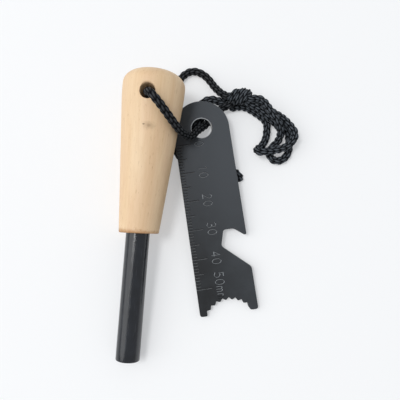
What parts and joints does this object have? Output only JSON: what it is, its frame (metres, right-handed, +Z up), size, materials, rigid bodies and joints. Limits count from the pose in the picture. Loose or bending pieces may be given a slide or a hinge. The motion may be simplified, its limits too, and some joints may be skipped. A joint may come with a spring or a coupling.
{
  "type": "fire starter",
  "caption": "Spark rod fire starter: wooden handle, black rod, flat steel striker with ruler, opener notch and serrated end, tied by a black braided lanyard.",
  "frame": {"origin": "at table height, under the middle of the box round the rigid pieces (handle, rod, adhesive and striker)", "axes": "+Y along the rod in plan, from its free end towards the handle's head; +Z up; +X towards the striker"},
  "size_m": [0.0614, 0.1043, 0.0269],
  "materials": {
    "wood": "pale, oiled, fine grain along the handle",
    "coated_rod": "black protective coating, lightly scratched",
    "adhesive": "clear, hidden",
    "oxidised_steel": "dark oxide, satin, with bright worn edges",
    "cord": "black round braid"
  },
  "bodies": {
    "grip": {"handle": "wood", "ferro_rod": "coated_rod", "rod_adhesive": "adhesive", "cord_arc": "cord", "cord_front": "cord", "cord_tail": "cord", "cord_loop_outer": "cord", "cord_loop_inner": "cord", "cord_knot": "cord"},
    "striker": {"striker": "oxidised_steel"}
  },
  "joints": [
    {"name": "striker_swing", "type": "hinge", "parent": "grip", "child": "striker", "pos_m": [0.00191, 0.03237, 0.00409], "axis": [0.0105, -0.0471, 0.9988], "range_deg": [-14, 26]}
  ]
}
